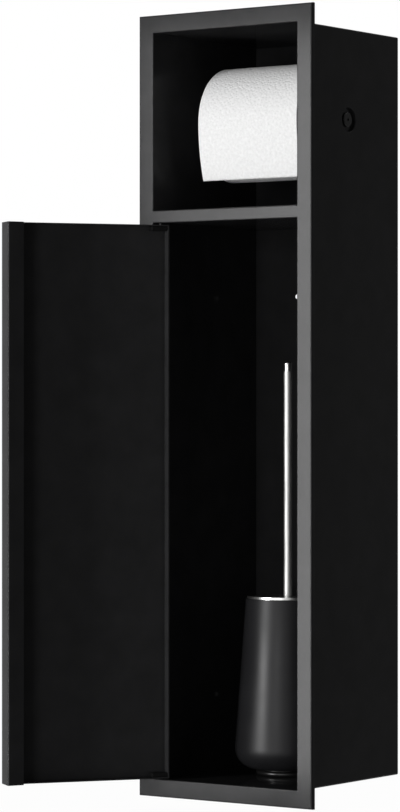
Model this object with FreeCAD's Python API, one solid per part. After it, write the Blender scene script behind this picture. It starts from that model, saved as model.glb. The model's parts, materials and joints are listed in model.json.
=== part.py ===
import FreeCAD, Part
import math
import os

from FreeCAD import Vector

# Recessed wall cabinet: an open toilet roll niche above a brush compartment with a hinged door.
# Millimetres. +X is right, +Y goes into the wall, +Z is up. The origin is the centre of the four
# wall screw holes, on the rear face of the back panel.

# Face frame
FRAME_WIDTH = 200.0
FRAME_HEIGHT = 750.0
FRAME_BORDER = 17.0
FRAME_SHEET = 1.2
FRAME_FOLD = 5.0
FRAME_BEND = 1.6
WINDOW_ROUNDING = 1.0

# Box behind the frame
CABINET_DEPTH = 175.0
NICHE_HEIGHT = 170.5
RAIL_HEIGHT = 12.0
BODY_SHEET = 1.0
BODY_BEND = 1.5
BACK_HOLE_RADIUS = 2.25
BACK_HOLE_INSET_X = 49.0
BACK_HOLE_INSET_Z = 66.75

# Door pan and its swing
DOOR_SHEET = 1.2
DOOR_BEND = 1.3
DOOR_FLANGE = 10.8
DOOR_EDGE_DEPTH = 22.0
DOOR_LIP = 16.0
DOOR_LIP_DROP = 2.4
DOOR_HINGE_GAP = 0.8
DOOR_FREE_GAP = 1.5
DOOR_TOP_GAP = 2.0
DOOR_BOTTOM_GAP = 1.2
DOOR_OPEN_ANGLE = 125.0

# Door pivots
PIVOT_FROM_SIDE = 6.7
PIVOT_FROM_FRONT = 3.45
PIN_RADIUS = 1.5
PIN_REACH = 4.2
PIN_CHAMFER = 0.4
PIN_SEAT_CLEARANCE = 0.02
PIN_RUNNING_CLEARANCE = 0.05
PIN_HOLE_CLEARANCE = 0.3
BRACKET_WIDTH = 24.0
BRACKET_DEPTH = 16.0
BRACKET_SHEET = 3.0
BRACKET_CORNER = 3.0
BLOCK_WIDTH = 16.0
BLOCK_DEPTH = 9.0
BLOCK_HEIGHT = 4.2
BLOCK_ROUNDING = 1.0
BLOCK_BORE_SPARE = 0.5
WASHER_RADIUS = 3.2
WASHER_PLAY = 0.1

# Push latch on the right wall
LATCH_HEIGHT = 0.0
LATCH_GAP = 0.3
LATCH_PLATE_SHEET = 2.0
LATCH_PLATE_HEIGHT = 46.0
LATCH_BODY_WIDTH = 12.0
LATCH_BODY_HEIGHT = 18.0
LATCH_BODY_LENGTH = 52.0
LATCH_BODY_ROUNDING = 1.5
LATCH_EAR_SHEET = 3.0
LATCH_EAR_HEIGHT = 10.0
LATCH_EAR_LENGTH = 12.0
LATCH_BORE_DEPTH = 44.0
PLUNGER_RADIUS = 4.2
PLUNGER_CLEARANCE = 0.3
PLUNGER_LENGTH = 24.0
PLUNGER_PROUD = 2.7
PLUNGER_WALL = 1.0
PLUNGER_POCKET = 14.0
MAGNET_RADIUS = 3.0
MAGNET_LENGTH = 3.0
MAGNET_CLEARANCE = 0.02
LATCH_SPRING_WIRE = 0.6
LATCH_SPRING_CLEARANCE = 0.2
LATCH_SCREW_RADIUS = 1.5
LATCH_SCREW_HEAD_RADIUS = 2.8
LATCH_SCREW_HEAD = 2.0
LATCH_SCREW_SPARE = 0.4
SCREW_CLEARANCE = 0.05

# Roll holder between the niche's side walls
RECESS_RADIUS = 11.75
RECESS_DEPTH = 3.0
RECESS_ROUNDING = 0.6
SOCKET_RADIUS = 15.0
SOCKET_LENGTH = 16.0
SOCKET_HOLE_DEPTH = 8.0
SOCKET_ROUNDING = 1.5
SOCKET_SCREW_RADIUS = 2.0
SOCKET_SCREW_REACH = 5.5
SOCKET_SCREW_HEAD_RADIUS = 7.0
SOCKET_SCREW_HEAD = 2.2
SOCKET_SCREW_ROUNDING = 0.8
SCREW_HOLE_SPARE = 0.5
SCREW_KEY_FLATS = 2.5
SCREW_KEY_DEPTH = 1.3
ROLLER_RADIUS = 18.7
ROLLER_WALL = 1.2
ROLLER_CAP = 2.0
ROLLER_END_GAP = 2.0
SLEEVE_LENGTH = 90.0
SLIDER_LENGTH = 72.0
SLIDER_CLEARANCE = 0.3
SPIGOT_RADIUS = 4.7
SPIGOT_LENGTH = 9.5
SPIGOT_CLEARANCE = 0.3
SPIGOT_CHAMFER = 0.8
ROLLER_SPRING_RADIUS = 10.0
ROLLER_SPRING_WIRE = 1.0

# Toilet roll
ROLL_RADIUS = 55.25
ROLL_WIDTH = 114.0
ROLL_SHIFT = 4.5
ROLL_EDGE = 0.8
CORE_WALL = 1.2
CORE_CLEARANCE = 0.3
TAIL_DROP = 56.0
TAIL_LEAN = 8.65
TAIL_THICKNESS = 0.4
TAIL_GAP = 0.05

# Brush holder
HOLDER_BACK_GAP = 12.6
HOLDER_PLAY = 0.05
FOOT_RADIUS = 31.0
FOOT_RIM = 2.6
FOOT_BORE = 24.0
FOOT_HEIGHT = 6.0
CUP_BASE_RADIUS = 53.2
CUP_RIM_RADIUS = 41.0
CUP_HEIGHT = 165.3
CUP_WALL = 3.0
CUP_BASE_ROUNDING = 20.0
CUP_RIM_ROUNDING = 0.6
LINER_BASE_RADIUS = 37.0
LINER_WALL = 1.5
LINER_CLEARANCE = 0.7
LINER_ROUNDING = 8.0

# Brush
LID_THICKNESS = 2.4
LID_STEP = 1.5
LID_EDGE = 0.3
LID_RING_HEIGHT = 4.0
LID_RING_WALL = 1.5
LID_RING_CLEARANCE = 0.6
HANDLE_RADIUS = 4.0
BRUSH_HEIGHT = 400.5
HANDLE_SEAT = 20.0
HANDLE_SEAT_CLEARANCE = 0.02
END_CAP_LENGTH = 9.0
END_CAP_ROUNDING = 1.6
END_CAP_PEG_RADIUS = 2.2
END_CAP_PEG_LENGTH = 5.0
FERRULE_TOP_RADIUS = 9.0
FERRULE_BOTTOM_RADIUS = 7.0
FERRULE_LENGTH = 46.0
STEM_RADIUS = 5.0
BRISTLE_RADIUS = 34.0
BRISTLE_LENGTH = 92.0
BRISTLE_GAP = 8.0
BRISTLE_TOP_ROUNDING = 10.0
BRISTLE_TIP_ROUNDING = 20.0

# Planes worked out from the sizes above
HALF_WINDOW = FRAME_WIDTH / 2 - FRAME_BORDER
LOWER_HEIGHT = FRAME_HEIGHT - 2 * FRAME_BORDER - NICHE_HEIGHT - RAIL_HEIGHT
FLOOR_Z = -LOWER_HEIGHT / 2
RAIL_BOTTOM_Z = LOWER_HEIGHT / 2
RAIL_TOP_Z = RAIL_BOTTOM_Z + RAIL_HEIGHT
CEILING_Z = RAIL_TOP_Z + NICHE_HEIGHT
FRONT_Y = -CABINET_DEPTH
BODY_FRONT_Y = FRONT_Y + FRAME_SHEET
PANEL_Y = -BODY_SHEET

PIVOT = Vector(-HALF_WINDOW + PIVOT_FROM_SIDE, FRONT_Y + PIVOT_FROM_FRONT, 0)
DOOR_LEFT = -HALF_WINDOW + DOOR_HINGE_GAP
DOOR_RIGHT = HALF_WINDOW - DOOR_FREE_GAP
DOOR_BOTTOM = FLOOR_Z + DOOR_BOTTOM_GAP
DOOR_TOP = RAIL_BOTTOM_Z - DOOR_TOP_GAP
EDGE_REAR_Y = FRONT_Y + DOOR_EDGE_DEPTH
LIP_SLOPE = DOOR_LIP_DROP / DOOR_LIP

LATCH_PLATE_X = HALF_WINDOW - LATCH_PLATE_SHEET
LATCH_AXIS_X = LATCH_PLATE_X - LATCH_BODY_WIDTH / 2
LATCH_TIP_Y = EDGE_REAR_Y - LIP_SLOPE * (DOOR_RIGHT - LATCH_AXIS_X - PLUNGER_RADIUS) + LATCH_GAP
LATCH_FRONT_Y = LATCH_TIP_Y + PLUNGER_PROUD
LATCH_SCREW_Y = LATCH_FRONT_Y + LATCH_BODY_LENGTH / 2
LATCH_SCREW_Z = (LATCH_BODY_HEIGHT + LATCH_EAR_HEIGHT) / 2

ROLL_AXIS = Vector(0, -CABINET_DEPTH / 2, (RAIL_TOP_Z + CEILING_Z) / 2)
SOCKET_FACE = HALF_WINDOW - RECESS_DEPTH
SOCKET_MOUTH = SOCKET_FACE - SOCKET_LENGTH
ROLLER_END = SOCKET_MOUTH - ROLLER_END_GAP
SLIDER_RADIUS = ROLLER_RADIUS - ROLLER_WALL - SLIDER_CLEARANCE
CORE_BORE_RADIUS = ROLLER_RADIUS + CORE_CLEARANCE
CORE_RADIUS = CORE_BORE_RADIUS + CORE_WALL
ROLL_LEFT = ROLL_SHIFT - ROLL_WIDTH / 2
ROLL_RIGHT = ROLL_SHIFT + ROLL_WIDTH / 2

HOLDER_AXIS_Y = PANEL_Y - HOLDER_BACK_GAP - CUP_BASE_RADIUS
FOOT_Z = FLOOR_Z + HOLDER_PLAY
CUP_Z = FOOT_Z + FOOT_HEIGHT
RIM_Z = CUP_Z + CUP_HEIGHT
LID_Z = RIM_Z + HOLDER_PLAY
LID_TOP_Z = LID_Z + LID_THICKNESS
LID_RING_Z = LID_Z - LID_RING_HEIGHT
LINER_Z = CUP_Z + CUP_WALL
LINER_TOP_Z = LID_RING_Z - HOLDER_PLAY
CUP_MOUTH_RADIUS = CUP_RIM_RADIUS - CUP_WALL
LID_RADIUS = CUP_RIM_RADIUS - LID_STEP
LID_RING_RADIUS = CUP_MOUTH_RADIUS - LID_RING_CLEARANCE
LINER_TOP_RADIUS = CUP_MOUTH_RADIUS - LINER_CLEARANCE
HANDLE_TOP_Z = FOOT_Z + BRUSH_HEIGHT
BRISTLE_Z = LINER_Z + LINER_WALL + BRISTLE_GAP

UP = Vector(0, 0, 1)
RIGHT = Vector(1, 0, 0)
INWARD = Vector(0, 1, 0)
TOLERANCE = 1e-4


# Helpers

def block(x0, x1, y0, y1, z0, z1):
    """A box between two corners."""
    return Part.makeBox(x1 - x0, y1 - y0, z1 - z0, Vector(x0, y0, z0))


def rod_x(radius, x0, x1, centre=ROLL_AXIS):
    """A cylinder along X, by default on the toilet roll's axis."""
    base = Vector(x0, centre.y, centre.z)
    return Part.makeCylinder(radius, abs(x1 - x0), base, RIGHT * math.copysign(1, x1 - x0))


def rod_y(radius, y0, y1, x, z):
    """A cylinder along Y."""
    return Part.makeCylinder(radius, y1 - y0, Vector(x, y0, z), INWARD)


def rod_z(radius, z0, z1, x, y):
    """A cylinder along Z."""
    return Part.makeCylinder(radius, z1 - z0, Vector(x, y, z0), UP)


def prism(outline, along):
    """A straight solid over a closed outline of points."""
    return Part.Face(Part.makePolygon(outline + outline[:1])).extrude(along)


def holder_rod(radius, z0, z1):
    """A cylinder on the axis of the brush and its holder."""
    return rod_z(radius, z0, z1, 0, HOLDER_AXIS_Y)


def holder_cone(radius0, radius1, z0, z1):
    """A cone on the axis of the brush and its holder."""
    return Part.makeCone(radius0, radius1, z1 - z0, Vector(0, HOLDER_AXIS_Y, z0), UP)


def edges_where(shape, test):
    """The edges of a shape whose end points all pass a test."""
    return [edge for edge in shape.Edges if all(test(vertex.Point) for vertex in edge.Vertexes)]


def on_level(level, axis):
    """A test for points on one plane square to an axis."""
    return lambda point: abs(getattr(point, axis) - level) < TOLERANCE


def rounded(shape, radius, test):
    """A shape with the edges that pass a test rounded off."""
    return shape.makeFillet(radius, edges_where(shape, test))


def rounded_along(shape, radius, axis, test=lambda point: True):
    """A shape with its edges along one axis rounded off, where they pass a test."""

    def runs_along(edge):
        direction = edge.tangentAt(edge.FirstParameter)
        return abs(getattr(direction, axis)) > 1 - TOLERANCE

    return shape.makeFillet(radius, [edge for edge in edges_where(shape, test) if runs_along(edge)])


# Cabinet sheet metal

def window_block(y0, y1, z0, z1):
    """The space behind one window of the face frame."""
    return block(-HALF_WINDOW, HALF_WINDOW, y0, y1, z0, z1)


def face_frame():
    """Front sheet with two windows and its outer edge folded back."""
    half = FRAME_WIDTH / 2
    low = FLOOR_Z - FRAME_BORDER
    high = low + FRAME_HEIGHT
    rear = FRONT_Y + FRAME_FOLD
    outer = block(-half, half, FRONT_Y, rear, low, high)
    outer = rounded(outer, FRAME_BEND, on_level(FRONT_Y, "y"))
    inset = half - FRAME_SHEET
    hollow = block(-inset, inset, BODY_FRONT_Y, rear, low + FRAME_SHEET, high - FRAME_SHEET)
    hollow = rounded(hollow, FRAME_BEND - FRAME_SHEET, on_level(BODY_FRONT_Y, "y"))
    frame = outer.cut(hollow)
    for z0, z1 in ((FLOOR_Z, RAIL_BOTTOM_Z), (RAIL_TOP_Z, CEILING_Z)):
        frame = frame.cut(window_block(FRONT_Y, rear, z0, z1))

    def on_window_front(point):
        on_front = abs(point.y - FRONT_Y) < TOLERANCE
        in_width = abs(point.x) < HALF_WINDOW + TOLERANCE
        return on_front and in_width and FLOOR_Z - TOLERANCE < point.z < CEILING_Z + TOLERANCE

    return rounded(frame, WINDOW_ROUNDING, on_window_front)


def body_wrap():
    """Top, bottom and sides in one folded strip, with a pressed cup on each side of the niche."""
    half = HALF_WINDOW + BODY_SHEET
    outer = block(-half, half, BODY_FRONT_Y, PANEL_Y, FLOOR_Z - BODY_SHEET, CEILING_Z + BODY_SHEET)
    outer = rounded_along(outer, BODY_BEND, "y")
    inner = window_block(BODY_FRONT_Y, PANEL_Y, FLOOR_Z, CEILING_Z)
    wrap = outer.cut(rounded_along(inner, BODY_BEND - BODY_SHEET, "y"))
    for side in (-1, 1):
        recess_floor = side * (SOCKET_FACE + BODY_SHEET)
        wrap = wrap.fuse(rod_x(RECESS_RADIUS + BODY_SHEET, side * half, side * SOCKET_FACE))
        wrap = wrap.cut(rod_x(RECESS_RADIUS, side * half, recess_floor))
        wrap = wrap.cut(rod_x(SOCKET_SCREW_RADIUS + PIN_HOLE_CLEARANCE, recess_floor, side * SOCKET_FACE))
    pin_hole = rod_z(PIN_RADIUS + PIN_HOLE_CLEARANCE, FLOOR_Z - BODY_SHEET, FLOOR_Z, PIVOT.x, PIVOT.y)
    wrap = wrap.cut(pin_hole).removeSplitter()

    def on_recess_mouth(point):
        from_axis = math.hypot(point.y - ROLL_AXIS.y, point.z - ROLL_AXIS.z)
        return abs(abs(point.x) - half) < TOLERANCE and abs(from_axis - RECESS_RADIUS) < TOLERANCE

    return rounded(wrap, RECESS_ROUNDING, on_recess_mouth)


def back_panel():
    """Flat rear sheet with the wall screw holes."""
    half = HALF_WINDOW + BODY_SHEET
    panel = block(-half, half, PANEL_Y, 0, FLOOR_Z - BODY_SHEET, CEILING_Z + BODY_SHEET)
    panel = rounded_along(panel, BODY_BEND, "y")
    for side_x in (-1, 1):
        for side_z in (-1, 1):
            x = side_x * (HALF_WINDOW - BACK_HOLE_INSET_X)
            z = side_z * (LOWER_HEIGHT / 2 - BACK_HOLE_INSET_Z)
            panel = panel.cut(rod_y(BACK_HOLE_RADIUS, PANEL_Y, 0, x, z))
    return panel


def divider_shelf():
    """Hollow shelf between niche and compartment, folded to a C that opens behind the rail."""
    outer = window_block(BODY_FRONT_Y, PANEL_Y, RAIL_BOTTOM_Z, RAIL_TOP_Z)
    outer = rounded_along(outer, BODY_BEND, "x", on_level(PANEL_Y, "y"))
    web_y = PANEL_Y - BODY_SHEET
    inner = window_block(BODY_FRONT_Y, web_y, RAIL_BOTTOM_Z + BODY_SHEET, RAIL_TOP_Z - BODY_SHEET)
    inner = rounded_along(inner, BODY_BEND - BODY_SHEET, "x", on_level(web_y, "y"))
    hole_top = RAIL_TOP_Z - BODY_SHEET
    pin_hole = rod_z(PIN_RADIUS + PIN_HOLE_CLEARANCE, RAIL_BOTTOM_Z, hole_top, PIVOT.x, PIVOT.y)
    return outer.cut(inner).cut(pin_hole)


# Door pivots

def pivot_bracket(z0):
    """Thick plate, welded on, that holds a pivot pin."""
    rear = BODY_FRONT_Y + BRACKET_DEPTH
    right = -HALF_WINDOW + BRACKET_WIDTH
    plate = block(-HALF_WINDOW, right, BODY_FRONT_Y, rear, z0, z0 + BRACKET_SHEET)

    def on_free_corner(point):
        return abs(point.x - right) < TOLERANCE and abs(point.y - rear) < TOLERANCE

    plate = rounded(plate, BRACKET_CORNER, on_free_corner)
    return plate.cut(rod_z(PIN_RADIUS + PIN_SEAT_CLEARANCE, z0, z0 + BRACKET_SHEET, PIVOT.x, PIVOT.y))


def pivot_pin(z_seat, z_tip):
    """Plain steel pin with chamfered ends."""
    pin = rod_z(PIN_RADIUS, min(z_seat, z_tip), max(z_seat, z_tip), PIVOT.x, PIVOT.y)
    return pin.makeChamfer(PIN_CHAMFER, edges_where(pin, lambda p: abs(p.z - z_tip) < TOLERANCE))


def thrust_washer():
    """Washer that carries the door on the compartment's floor."""
    top = DOOR_BOTTOM - WASHER_PLAY
    washer = rod_z(WASHER_RADIUS, FLOOR_Z, top, PIVOT.x, PIVOT.y)
    return washer.cut(rod_z(PIN_RADIUS + PIN_RUNNING_CLEARANCE, FLOOR_Z, top, PIVOT.x, PIVOT.y))


# Door, drawn closed and then swung open

def swung_open(shape):
    """A door piece turned from closed to its rest place, open."""
    turned = shape.copy()
    turned.rotate(PIVOT, UP, -DOOR_OPEN_ANGLE)
    return turned


def door_tray(inset, y_front, y_rear, bend):
    """The door's outline as a solid, rounded at its front edges."""
    left = DOOR_LEFT + inset
    right = DOOR_RIGHT - inset
    tray = block(left, right, y_front, y_rear, DOOR_BOTTOM + inset, DOOR_TOP - inset)
    return rounded(tray, bend, on_level(y_front, "y"))


def door_edge(inset):
    """The deep free edge and its return lip as a solid, with the lip bent a little past square."""
    flange_y = FRONT_Y + DOOR_FLANGE
    lip_left = DOOR_RIGHT - DOOR_LIP
    right = DOOR_RIGHT - inset
    low = DOOR_BOTTOM + inset
    outline = [Vector(lip_left, flange_y, low), Vector(right, flange_y, low),
               Vector(right, EDGE_REAR_Y - LIP_SLOPE * inset - inset, low),
               Vector(lip_left, EDGE_REAR_Y - DOOR_LIP_DROP - inset, low)]
    return prism(outline, UP * (DOOR_TOP - inset - low))


def door_pan():
    """Folded door: skin, four flanges and a deep free edge with a return lip."""
    flange_y = FRONT_Y + DOOR_FLANGE
    solid = door_tray(0, FRONT_Y, flange_y, DOOR_BEND)

    def on_lip_bend(point):
        return abs(point.x - DOOR_RIGHT) < TOLERANCE and abs(point.y - EDGE_REAR_Y) < TOLERANCE

    solid = solid.fuse(rounded(door_edge(0), DOOR_BEND, on_lip_bend))
    hollow = door_tray(DOOR_SHEET, FRONT_Y + DOOR_SHEET, flange_y, DOOR_BEND - DOOR_SHEET)
    pan = solid.cut(hollow).cut(door_edge(DOOR_SHEET))
    pin_holes = rod_z(PIN_RADIUS + PIN_HOLE_CLEARANCE, DOOR_BOTTOM, DOOR_TOP, PIVOT.x, PIVOT.y)
    return swung_open(pan.cut(pin_holes).removeSplitter())


def door_block(z0, bore_z0, bore_z1):
    """Nylon pivot block in a hinge corner of the door, with a blind bore."""
    left = DOOR_LEFT + DOOR_SHEET
    front = FRONT_Y + DOOR_SHEET
    body = block(left, left + BLOCK_WIDTH, front, front + BLOCK_DEPTH, z0, z0 + BLOCK_HEIGHT)
    body = body.makeFillet(BLOCK_ROUNDING, body.Edges)
    bore = rod_z(PIN_RADIUS + PIN_RUNNING_CLEARANCE, bore_z0, bore_z1, PIVOT.x, PIVOT.y)
    return swung_open(body.cut(bore))


# Push latch

def latch_bracket():
    """Plate welded to the right wall, tapped for the latch screws."""
    half = LATCH_PLATE_HEIGHT / 2
    rear = LATCH_FRONT_Y + LATCH_BODY_LENGTH
    plate = block(LATCH_PLATE_X, HALF_WINDOW, LATCH_FRONT_Y, rear, LATCH_HEIGHT - half, LATCH_HEIGHT + half)
    plate = rounded_along(plate, BRACKET_CORNER, "x")
    for hole in latch_screw_holes(LATCH_PLATE_X, HALF_WINDOW - LATCH_SCREW_SPARE + SCREW_CLEARANCE):
        plate = plate.cut(hole)
    return plate


def latch_screw_holes(x0, x1):
    """The two screw holes of the latch."""
    centres = [Vector(0, LATCH_SCREW_Y, LATCH_HEIGHT + side * LATCH_SCREW_Z) for side in (-1, 1)]
    return [rod_x(LATCH_SCREW_RADIUS + SCREW_CLEARANCE, x0, x1, centre) for centre in centres]


def latch_housing():
    """Latch body with two screw ears and a bore for the plunger."""
    half = LATCH_BODY_HEIGHT / 2
    left = LATCH_PLATE_X - LATCH_BODY_WIDTH
    rear = LATCH_FRONT_Y + LATCH_BODY_LENGTH
    body = block(left, LATCH_PLATE_X, LATCH_FRONT_Y, rear, LATCH_HEIGHT - half, LATCH_HEIGHT + half)
    body = rounded_along(body, LATCH_BODY_ROUNDING, "y")
    ear_half = half + LATCH_EAR_HEIGHT
    ears = block(LATCH_PLATE_X - LATCH_EAR_SHEET, LATCH_PLATE_X, LATCH_SCREW_Y - LATCH_EAR_LENGTH / 2,
                 LATCH_SCREW_Y + LATCH_EAR_LENGTH / 2, LATCH_HEIGHT - ear_half, LATCH_HEIGHT + ear_half)
    body = body.fuse(rounded_along(ears, BRACKET_CORNER, "x"))
    for hole in latch_screw_holes(LATCH_PLATE_X - LATCH_EAR_SHEET, LATCH_PLATE_X):
        body = body.cut(hole)
    bore_end = LATCH_FRONT_Y + LATCH_BORE_DEPTH
    bore = rod_y(PLUNGER_RADIUS + PLUNGER_CLEARANCE, LATCH_FRONT_Y, bore_end, LATCH_AXIS_X, LATCH_HEIGHT)
    return body.cut(bore).removeSplitter()


def latch_plunger():
    """Plunger with a magnet pocket in its tip and a spring pocket behind."""
    rear = LATCH_TIP_Y + PLUNGER_LENGTH
    plunger = rod_y(PLUNGER_RADIUS, LATCH_TIP_Y, rear, LATCH_AXIS_X, LATCH_HEIGHT)
    magnet_hole = rod_y(MAGNET_RADIUS + MAGNET_CLEARANCE, LATCH_TIP_Y, LATCH_TIP_Y + MAGNET_LENGTH,
                        LATCH_AXIS_X, LATCH_HEIGHT)
    spring_hole = rod_y(PLUNGER_RADIUS - PLUNGER_WALL, rear - PLUNGER_POCKET, rear,
                        LATCH_AXIS_X, LATCH_HEIGHT)
    return plunger.cut(magnet_hole).cut(spring_hole)


def latch_magnet():
    """Disc magnet in the plunger's tip."""
    return rod_y(MAGNET_RADIUS, LATCH_TIP_Y, LATCH_TIP_Y + MAGNET_LENGTH, LATCH_AXIS_X, LATCH_HEIGHT)


def latch_spring():
    """Envelope of the hidden latch spring."""
    y0 = LATCH_TIP_Y + PLUNGER_LENGTH - PLUNGER_POCKET
    y1 = LATCH_FRONT_Y + LATCH_BORE_DEPTH
    radius = PLUNGER_RADIUS - PLUNGER_WALL - LATCH_SPRING_CLEARANCE
    spring = rod_y(radius, y0, y1, LATCH_AXIS_X, LATCH_HEIGHT)
    return spring.cut(rod_y(radius - LATCH_SPRING_WIRE, y0, y1, LATCH_AXIS_X, LATCH_HEIGHT))


def latch_screws():
    """Two pan head screws through the latch's ears."""
    screws = []
    seat = LATCH_PLATE_X - LATCH_EAR_SHEET
    for side in (-1, 1):
        centre = Vector(0, LATCH_SCREW_Y, LATCH_HEIGHT + side * LATCH_SCREW_Z)
        head = rod_x(LATCH_SCREW_HEAD_RADIUS, seat, seat - LATCH_SCREW_HEAD, centre)
        shank = rod_x(LATCH_SCREW_RADIUS, seat, HALF_WINDOW - LATCH_SCREW_SPARE, centre)
        screws.append(head.fuse(shank))
    return Part.makeCompound(screws)


# Roll holder

def socket(side):
    """Round socket on a pressed cup, with a hole for the roller's spigot."""
    body = rod_x(SOCKET_RADIUS, side * SOCKET_FACE, side * SOCKET_MOUTH)
    body = rounded(body, SOCKET_ROUNDING, on_level(side * SOCKET_MOUTH, "x"))
    hole_end = side * (SOCKET_MOUTH + SOCKET_HOLE_DEPTH)
    body = body.cut(rod_x(SPIGOT_RADIUS + SPIGOT_CLEARANCE, side * SOCKET_MOUTH, hole_end))
    screw_end = side * (SOCKET_FACE - SOCKET_SCREW_REACH - SCREW_HOLE_SPARE)
    return body.cut(rod_x(SOCKET_SCREW_RADIUS + SCREW_CLEARANCE, side * SOCKET_FACE, screw_end))


def screw_key(x0, x1):
    """The six-sided key hole of a socket screw."""
    radius = SCREW_KEY_FLATS / math.sqrt(3)
    corners = []
    for turn in range(0, 360, 60):
        spoke = math.radians(turn)
        corners.append(ROLL_AXIS + Vector(x0, radius * math.cos(spoke), radius * math.sin(spoke)))
    return prism(corners, RIGHT * (x1 - x0))


def socket_screws():
    """One broad screw from outside into each socket, its head down in the pressed cup."""
    screws = []
    for side in (-1, 1):
        seat = side * (SOCKET_FACE + BODY_SHEET)
        top = seat + side * SOCKET_SCREW_HEAD
        head = rounded(rod_x(SOCKET_SCREW_HEAD_RADIUS, seat, top), SOCKET_SCREW_ROUNDING, on_level(top, "x"))
        shank = rod_x(SOCKET_SCREW_RADIUS, seat, side * (SOCKET_FACE - SOCKET_SCREW_REACH))
        screws.append(head.fuse(shank).cut(screw_key(top, top - side * SCREW_KEY_DEPTH)))
    return Part.makeCompound(screws)


def roller_half(radius, side, length):
    """One telescoping half of the roller: a tube with a closed end and a spigot."""
    end = side * ROLLER_END
    open_end = end - side * length
    tip = end + side * SPIGOT_LENGTH
    spigot = rod_x(SPIGOT_RADIUS, end, tip)
    spigot = spigot.makeChamfer(SPIGOT_CHAMFER, edges_where(spigot, on_level(tip, "x")))
    tube = rod_x(radius, end, open_end).fuse(spigot)
    return tube.cut(rod_x(radius - ROLLER_WALL, end - side * ROLLER_CAP, open_end))


def roller_spring():
    """Envelope of the hidden roller spring."""
    x1 = ROLLER_END - ROLLER_CAP
    inner = ROLLER_SPRING_RADIUS - ROLLER_SPRING_WIRE
    return rod_x(ROLLER_SPRING_RADIUS, -x1, x1).cut(rod_x(inner, -x1, x1))


# Toilet roll

def roll_core():
    """Cardboard tube, pushed over to the right on the roller."""
    return rod_x(CORE_RADIUS, ROLL_LEFT, ROLL_RIGHT).cut(rod_x(CORE_BORE_RADIUS, ROLL_LEFT, ROLL_RIGHT))


def paper_roll():
    """Wound paper on the core."""
    roll = rod_x(ROLL_RADIUS, ROLL_LEFT, ROLL_RIGHT)
    for end in (ROLL_LEFT, ROLL_RIGHT):
        roll = rounded(roll, ROLL_EDGE, on_level(end, "x"))
    return roll.cut(rod_x(CORE_RADIUS, ROLL_LEFT, ROLL_RIGHT))


def paper_tail():
    """Loose end of the paper: it leaves the roll's front and curls in a little as it hangs."""
    bend = (TAIL_DROP ** 2 + TAIL_LEAN ** 2) / (2 * TAIL_LEAN)
    sweep = math.asin(TAIL_DROP / bend)
    centre_y = ROLL_AXIS.y - ROLL_RADIUS - TAIL_GAP + bend

    def point(radius, angle):
        return Vector(ROLL_LEFT, centre_y - radius * math.cos(angle), ROLL_AXIS.z - radius * math.sin(angle))

    def arc(radius):
        return Part.Arc(point(radius, 0), point(radius, sweep / 2), point(radius, sweep)).toShape()

    outer = bend + TAIL_THICKNESS
    top = Part.makeLine(point(bend, 0), point(outer, 0))
    tip = Part.makeLine(point(bend, sweep), point(outer, sweep))
    face = Part.Face(Part.Wire(Part.__sortEdges__([arc(bend), tip, arc(outer), top])))
    return face.extrude(RIGHT * ROLL_WIDTH)


# Brush holder

def holder_foot():
    """Foot ring under the cup: a rolled rim on the floor, with a short neck up to the cup."""
    neck = FOOT_RADIUS - FOOT_RIM
    rim_low = Vector(neck, HOLDER_AXIS_Y, FOOT_Z)
    rim_side = Vector(FOOT_RADIUS, HOLDER_AXIS_Y, FOOT_Z + FOOT_RIM)
    rim_high = rim_low + UP * (2 * FOOT_RIM)
    corners = [rim_high, Vector(neck, HOLDER_AXIS_Y, CUP_Z), Vector(FOOT_BORE, HOLDER_AXIS_Y, CUP_Z),
               Vector(FOOT_BORE, HOLDER_AXIS_Y, FOOT_Z), rim_low]
    rim = Part.Arc(rim_low, rim_side, rim_high).toShape()
    profile = Part.Face(Part.Wire([rim] + Part.makePolygon(corners).Edges))
    return profile.revolve(Vector(0, HOLDER_AXIS_Y, 0), UP, 360)


def holder_cup():
    """Tapered cup with a large round at its base."""
    outer = holder_cone(CUP_BASE_RADIUS, CUP_RIM_RADIUS, CUP_Z, RIM_Z)
    outer = rounded(outer, CUP_BASE_ROUNDING, on_level(CUP_Z, "z"))
    floor_z = CUP_Z + CUP_WALL
    rise = (CUP_BASE_RADIUS - CUP_RIM_RADIUS) * CUP_WALL / CUP_HEIGHT
    inner = holder_cone(CUP_BASE_RADIUS - CUP_WALL - rise, CUP_MOUTH_RADIUS, floor_z, RIM_Z)
    inner = rounded(inner, CUP_BASE_ROUNDING - CUP_WALL, on_level(floor_z, "z"))
    return rounded(outer.cut(inner), CUP_RIM_ROUNDING, on_level(RIM_Z, "z"))


def holder_liner():
    """Plastic drip liner that lifts out of the cup."""
    outer = holder_cone(LINER_BASE_RADIUS, LINER_TOP_RADIUS, LINER_Z, LINER_TOP_Z)
    outer = rounded(outer, LINER_ROUNDING, on_level(LINER_Z, "z"))
    floor_z = LINER_Z + LINER_WALL
    inner = holder_cone(LINER_BASE_RADIUS - LINER_WALL, LINER_TOP_RADIUS - LINER_WALL, floor_z, LINER_TOP_Z)
    inner = rounded(inner, LINER_ROUNDING - LINER_WALL, on_level(floor_z, "z"))
    return outer.cut(inner)


# Brush

def brush_lid():
    """Polished disc on the handle that rests on the cup's rim, with a ring below that centres it."""
    disc = holder_rod(LID_RADIUS, LID_Z, LID_TOP_Z)
    disc = rounded(disc, LID_EDGE, on_level(LID_TOP_Z, "z"))
    ring = holder_rod(LID_RING_RADIUS, LID_RING_Z, LID_Z)
    ring = ring.cut(holder_rod(LID_RING_RADIUS - LID_RING_WALL, LID_RING_Z, LID_Z))
    lid = disc.fuse(ring)
    return lid.cut(holder_rod(HANDLE_RADIUS + HANDLE_SEAT_CLEARANCE, LID_Z, LID_TOP_Z))


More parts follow.
